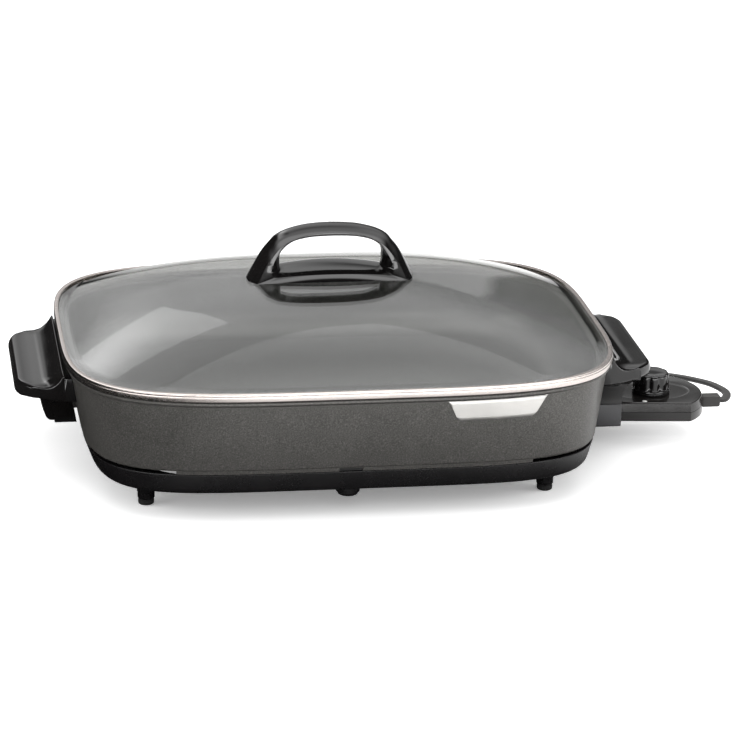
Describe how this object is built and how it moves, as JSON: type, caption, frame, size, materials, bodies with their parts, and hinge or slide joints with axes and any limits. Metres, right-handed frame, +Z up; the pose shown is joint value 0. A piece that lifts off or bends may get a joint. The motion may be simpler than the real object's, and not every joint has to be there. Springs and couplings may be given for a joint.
{
  "type": "electric skillet",
  "caption": "Rectangular electric skillet: dark cast pan on a black base, domed glass lid with an arched handle, side handles, and a plug-in heat control with a dial and cord.",
  "frame": {"origin": "on the table plane, under the middle of the object's length and depth measured without its cord, coil and plug", "axes": "+X along the pan's long side towards the heat control, +Y to the back, +Z up; the badge plate is on the -Y side"},
  "size_m": [0.568, 0.4259, 0.1797],
  "materials": {
    "coated_aluminium": "dark non-stick coating, satin, faint metallic speckle",
    "black_phenolic": "glossy moulded phenolic",
    "base_plastic": "satin moulded plastic",
    "polished_steel": "soft polished",
    "badge_metal": "fine brushed, bare",
    "clear_glass": "clear tempered",
    "grey_rubber": "matte",
    "element_sheath": "dull heat-stained sheath",
    "white_ceramic": null,
    "zinc_steel": "zinc plated",
    "lens_plastic": "clear white plastic",
    "cord_jacket": "soft flexible cord jacket",
    "blade_brass": "plain brass"
  },
  "bodies": {
    "skillet": {"pan": "coated_aluminium", "base_skirt": "base_plastic", "heating_element": "element_sheath", "terminal_block": "white_ceramic", "terminal_pin_front": "zinc_steel", "terminal_pin_back": "zinc_steel", "left_handle": "black_phenolic", "right_handle": "black_phenolic", "terminal_guard": "black_phenolic", "badge_plate": "badge_metal", "foot_pad_front_left": "grey_rubber", "handle_screw_front_left": "zinc_steel", "base_screw_front_left": "zinc_steel", "foot_pad_front_right": "grey_rubber", "handle_screw_front_right": "zinc_steel", "base_screw_front_right": "zinc_steel", "foot_pad_back_left": "grey_rubber", "handle_screw_back_left": "zinc_steel", "base_screw_back_left": "zinc_steel", "foot_pad_back_right": "grey_rubber", "handle_screw_back_right": "zinc_steel", "base_screw_back_right": "zinc_steel"},
    "lid": {"lid_glass": "clear_glass", "lid_band": "polished_steel", "lid_handle": "black_phenolic", "lid_screw_left": "zinc_steel", "lid_screw_right": "zinc_steel", "lid_washer_left": "grey_rubber", "lid_washer_right": "grey_rubber"},
    "heat_control": {"control_lower_housing": "black_phenolic", "control_upper_housing": "black_phenolic", "control_screw_front": "zinc_steel", "control_screw_back": "zinc_steel", "heat_shield": "zinc_steel", "probe_tube": "zinc_steel", "contact_sleeve_front": "blade_brass", "contact_sleeve_back": "blade_brass", "thermostat_base": "white_ceramic", "pilot_light_lens": "lens_plastic", "strain_relief": "cord_jacket", "cord": "cord_jacket", "cord_coil": "cord_jacket", "cord_tie": "grey_rubber", "plug_body": "cord_jacket", "plug_blade_1": "blade_brass", "plug_blade_2": "blade_brass"},
    "dial": {"dial_knob": "black_phenolic", "dial_shaft": "zinc_steel"}
  },
  "joints": [
    {"name": "lid_lift", "type": "slide", "parent": "skillet", "child": "lid", "axis": [0, 0, 1], "range_m": [0, 0.15]},
    {"name": "control_pull", "type": "slide", "parent": "skillet", "child": "heat_control", "axis": [1, 0, 0], "range_m": [0, 0.08]},
    {"name": "dial_turn", "type": "hinge", "parent": "heat_control", "child": "dial", "pos_m": [0.22865, 0, 0.0361], "axis": [0, 0, 1], "range_deg": [0, 270]}
  ]
}
